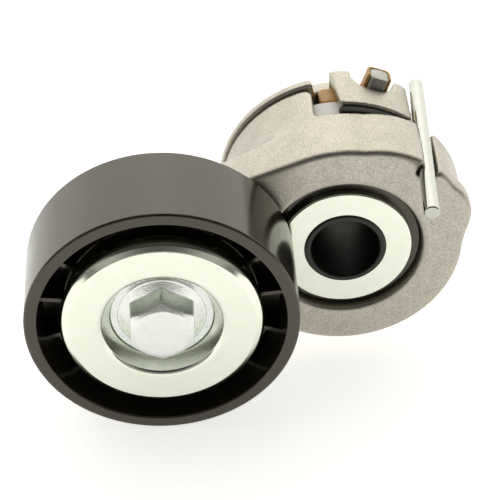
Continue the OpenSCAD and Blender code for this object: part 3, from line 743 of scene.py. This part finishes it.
def addBolt():
    # rows run from the middle of the top face, over the chamfer, down the hexagon's sides, out over
    # the cone and the raised rim, and back along the shank; each row is a circle or the hexagon
    s = bolt
    n = 360
    a = np.arange(n) * 2 * math.pi / n
    flats = np.stack([np.cos(a - math.radians(60 * k)) for k in range(6)])
    power = 60.0  # a rounded maximum keeps the hexagon's corners a little soft
    hexagon = (s["across"] / 2) / (np.maximum(flats, 0) ** power).sum(0) ** (1 / power)
    slope = math.tan(math.radians(s["chamfer"]))
    topR, topY = s["topRadius"], s["top"]
    coneR, coneY = s["cone"]
    edgeY = topY + (hexagon - topR) * slope  # where the chamfer meets the sides
    share = np.linspace(0.08, 1, 12)[:, None]
    flatR = np.broadcast_to((topR - 0.25) * share, (12, n))
    flatY = np.full(flatR.shape, topY)
    # chamfer, starting with a soft edge
    t = np.linspace(0.15, 1, 8)[:, None]
    chamferR = topR + (hexagon - 0.22 - topR) * t
    chamferY = topY + (chamferR - topR) * slope + 0.05 * np.exp(-((chamferR - topR) / 0.3) ** 2)
    # rounded edge, sides and foot
    e = np.linspace(0, 1, 5)[1:, None]
    roundR = hexagon - 0.22 * (1 - e) ** 2
    roundY = edgeY - 0.22 * slope * (1 - e) + 0.25 * e ** 2
    footY = coneY + (hexagon - coneR) * 0.35 - 0.25
    d = np.linspace(0, 1, 9)[1:, None]
    sideR = np.broadcast_to(hexagon, (8, n))
    sideY = roundY[-1] * (1 - d) + footY * d
    f = np.linspace(0, math.pi / 2, 5)[1:, None]
    filletR = hexagon + 0.3 * (1 - np.cos(f))
    filletY = footY + 0.3 * np.sin(f)
    rimR, outR = s["rim"], s["flange"][0]
    frontY, underY, bevel = s["flange"][1:]
    c = np.linspace(0, 1, 6)[1:, None]
    coneRowR = filletR[-1] + (rimR - 0.12 - filletR[-1]) * c
    coneRowY = filletY[-1] + (frontY + s["step"] - filletY[-1]) * c
    stepY, shank, tip = frontY + s["step"], s["shank"], s["tip"]
    corners = [(rimR - 0.3, stepY), (rimR, stepY), (rimR + 0.12, frontY), (outR, frontY),
               (outR, underY), (shank, underY), (shank, tip), (0, tip)]
    rest = rounded(corners, [0, 0.08, 0.12, bevel, 0.2, 0.2, 0.9, 0], steps=7, closed=False)[1:]
    rest = rest[rest[:, 0] > 1e-4]
    restR = np.broadcast_to(rest[:, :1], (len(rest), n))
    restY = np.broadcast_to(rest[:, 1:], (len(rest), n))
    rowR = np.concatenate([flatR, chamferR, roundR, sideR, filletR, coneRowR, restR])
    rowY = np.concatenate([flatY, chamferY, roundY, sideY, filletY, coneRowY, restY])
    turn = a + math.pi / 2 + math.pi / 6  # a corner points upwards
    rows = np.stack([pulleyAt[0] + rowR * np.cos(turn), rowY, pulleyAt[2] + rowR * np.sin(turn)], -1)
    poles = np.array([[pulleyAt[0], topY, pulleyAt[2]], [pulleyAt[0], tip, pulleyAt[2]]])
    xyz, faces = skinned(rows, poles)
    addPiece("bolt_body", xyz, faces, "arm", ["pulley_bolt"], "bolt_zinc", "boltZinc", sharp=35)


addBolt()

shield = {"bore": 8.6, "seat": 13.0, "collar": 13.4, "step": 0.1}


def addShield():
    low, high = boxMm("rear_dust_shield")
    y0, y1 = low[1], high[1]
    out = (high[0] - low[0]) / 2
    bore, seat, collar, step = shield.values()
    corners = [(bore, y0), (seat, y0), (seat, y0 + step), (out, y0 + step), (out, y1 - step), (collar, y1),
               (bore, y1)]
    xyz, faces = turnedMesh(rounded(corners, [0.03, 0.03, 0.03, 0.25, 0.25, 0.3, 0.1]), pulleyAt)
    addPiece("rear_cap", xyz, faces, "arm", ["rear_dust_shield"], "zinc_plate", "zincPlate")


addShield()

dowel = {"relief": 0.3, "seat": 0.4, "bevel": (0.8, 0.9)}


def addDowel():
    low, high = boxMm("locating_dowel")
    centre = (low + high) / 2
    r = (high[0] - low[0]) / 2
    y0, y1 = low[1], high[1]
    inR, seat, (bevelR, bevelY) = r - dowel["relief"], dowel["seat"], dowel["bevel"]
    corners = [(0, y0), (inR, y0), (inR, seat), (r, seat), (r, y1 - bevelY), (r - bevelR, y1), (0, y1)]
    profile = rounded(corners, [0, 0.2, 0.1, 0.12, 0.3, 0.3, 0], closed=False)
    xyz, faces = turnedMesh(profile, (centre[0], 0.0, centre[2]), 96, True)
    addPiece("dowel_body", xyz, faces, "base", ["locating_dowel"], "bright_steel", "brightSteel")


addDowel()


def addPin():
    # turned along Y about the origin, then laid on the pin's axis
    half, r, edge = pinLength / 2, pin["radius"], pin["edge"]
    profile = rounded([(0, -half), (r, -half), (r, half), (0, half)], [0, edge, edge, 0], closed=False)
    xyz, faces = turnedMesh(profile, (0, 0, 0), 64, True)
    e1, e2, e3 = pinFrame()
    turned = pinMiddle + xyz[:, :1] * e1 + xyz[:, 1:2] * e3 - xyz[:, 2:] * e2
    addPiece("pull_pin", turned, faces, "lock_pin", ["lock_pin"], "pin_steel", "pinSteel")


addPin()
print("turned parts done")

spring = {"wire": 4.6, "coil": 20.5, "turns": 4.0, "end": 71.0, "reach": 31.8, "bend": 3.0, "corner": 1.15,
          "front": -30.6, "rear": -5.5}


def addSpring():
    # a rounded square carried along a helix, then round a bend and straight out along the radius
    s = spring
    w = s["wire"]
    endA = math.radians(s["end"])
    rho = s["bend"]
    # the leg lies on the radius at the end angle; the bend joins it to the coil's circle
    n = 260
    total = 2 * math.pi * s["turns"]
    gapA = rho / s["coil"]
    t = np.linspace(0, 1, n)
    ang = endA - gapA - total * (1 - t)
    yRear = s["rear"] - w / 2
    yFront = s["front"] + w / 2
    y = yFront + (yRear - yFront) * t
    coil = np.stack([s["coil"] * np.cos(ang), y, s["coil"] * np.sin(ang)], 1)
    tangent = np.array([-math.sin(endA), 0, math.cos(endA)])
    radial = np.array([math.cos(endA), 0, math.sin(endA)])
    b = np.linspace(0, math.pi / 2, 10)[1:]
    start = coil[-1]
    bend = start + rho * (np.sin(b)[:, None] * tangent + (1 - np.cos(b))[:, None] * radial)
    legT = np.linspace(0, 1, 8)[1:, None]
    corner = bend[-1]
    leg = corner + (radial * (s["reach"] - corner @ radial)) * legT
    path = np.concatenate([coil, bend, leg])
    d = np.gradient(path, axis=0)
    d /= np.linalg.norm(d, axis=1)[:, None]
    side = np.cross(np.array([0.0, 1.0, 0.0]), d)
    side /= np.linalg.norm(side, axis=1)[:, None]
    up = np.cross(d, side)
    h = w / 2
    section = rounded([(-h, -h), (h, -h), (h, h), (-h, h)], s["corner"], steps=5)
    # the last rows shrink a little, so that the cut end has a broken edge
    shrink = np.ones(len(path))
    path = np.concatenate([path, path[-1:] + 0.22 * d[-1]])
    shrink = np.append(shrink, 0.90)
    side, up = np.concatenate([side, side[-1:]]), np.concatenate([up, up[-1:]])
    offset = section[None, :, :1] * side[:, None] + section[None, :, 1:] * up[:, None]
    rows = path[:, None] + shrink[:, None, None] * offset
    xyz, faces = skinned(rows, rows[[0, -1]].mean(1))
    addPiece("spring_wire", xyz, faces, "base", ["torsion_spring"], "spring_steel", "springSteel")


addSpring()

shoe = {"inner": 23.2, "outer": 25.9, "y": (-12.4, -6.0), "angles": (58.0, 101.0), "tang": 71.0,
        "tangY": -7.8, "wall": 0.75, "front": 1.2, "end": 32.0, "step": 0.3}


def shoeShape(x, y, z):
    s = shoe
    r = np.hypot(x, z)
    ends = maxRound(-pastAngle(x, z, s["angles"][0]), pastAngle(x, z, s["angles"][1]), 0.5)
    faces = maxRound(s["y"][0] - y, y - s["y"][1], 0.6)
    block = maxRound(maxRound(s["inner"] - r, r - s["outer"], 0.4), maxRound(ends, faces, 1.3), 0.8)
    a = math.radians(s["tang"])
    out = x * math.cos(a) + z * math.sin(a)
    v = pastAngle(x, z, s["tang"])
    h = spring["wire"] / 2 + 0.1
    w = h + s["wall"]
    sleeve = maxRound(np.abs(v) - w, y - s["tangY"] - w, 1.7)
    sleeve = maxRound(sleeve, s["tangY"] - s["front"] - y, 0.4)
    sleeve = maxRound(sleeve, np.maximum(s["inner"] - out, out - s["end"]), 0.3)
    # channel for the wire, open to the front
    channel = maxRound(np.abs(v) - h, y - s["tangY"] - h, 1.0)
    body = minRound(block, sleeve, 0.4)
    return maxRound(body, -channel, 0.25)


shoeLow, shoeHigh = boxMm("spring_shoe")
piece = shellOf(shoeShape, shoeLow, shoeHigh, shoe["step"])
addPiece("spring_holder", *piece, "base", ["spring_shoe"], "amber_polymer", "amberPolymer", sharp=0)

damper = {"r": (26.6, 28.98), "y": (-21.72, -18.38), "angles": (53.6, 91.5), "lumps": 0.10}


def addDamper():
    # an oval section carried round the drum, its size swelling and shrinking along its length
    s = damper
    rows, cols = 160, 28
    t = np.linspace(0, 1, rows)[:, None]
    a = np.radians(s["angles"][1] + (s["angles"][0] - s["angles"][1]) * t)
    u = np.arange(cols)[None] * 2 * math.pi / cols
    power = 0.55
    cu, su = np.cos(u), np.sin(u)
    cx, cy = np.sign(cu) * np.abs(cu) ** power, np.sign(su) * np.abs(su) ** power
    ends = np.minimum(1, np.sqrt(np.clip(1 - (1 - np.minimum(t / 0.05, 1)) ** 2, 0, 1) + 1e-3))
    ends = ends * np.minimum(1, np.sqrt(np.clip(1 - (1 - np.minimum((1 - t) / 0.03, 1)) ** 2, 0, 1) + 1e-3))
    waves = 0.22 * np.sin(t * 23) + 0.16 * np.sin(t * 41 + 2) + 0.12 * np.sin(t * 67 + u * 2)
    lump = 1 - s["lumps"] * (0.28 + waves)
    halfR, halfY = (s["r"][1] - s["r"][0]) / 2, (s["y"][1] - s["y"][0]) / 2
    r = (s["r"][0] + s["r"][1]) / 2 + halfR * cx * ends * (0.55 + 0.45 * lump)
    y = (s["y"][0] + s["y"][1]) / 2 + halfY * cy * ends * np.where(cy < 0, lump, 1.0)
    skin = np.stack([r * np.cos(a), y, r * np.sin(a)], -1)
    xyz, faces = skinned(skin, skin[[0, -1]].mean(1))
    addPiece("stop_damper", xyz, faces, "base", ["damper_strip"], "black_damper", "blackDamper")


addDamper()
print("spring parts done")

# CAD nodes that keep their own shape
finishes = {
    "bearing_inner_race": "bearingSteel", "bearing_outer_race": "bearingSteel",
    "bearing_balls": "bearingSteel", "bearing_cage": "cagePolymer",
    "bearing_seal_front": "sealRubber", "bearing_seal_rear": "sealRubber",
    "pivot_bush_front": "bronze", "pivot_bush_rear": "bronze", "bearing_spacer": "brightSteel",
}
for name, finish in finishes.items():
    for place in nodes[name].material_slots:
        place.material = materials[finish]

print("cad", [round(c * 1000, 2) for v in cadBox for c in v])
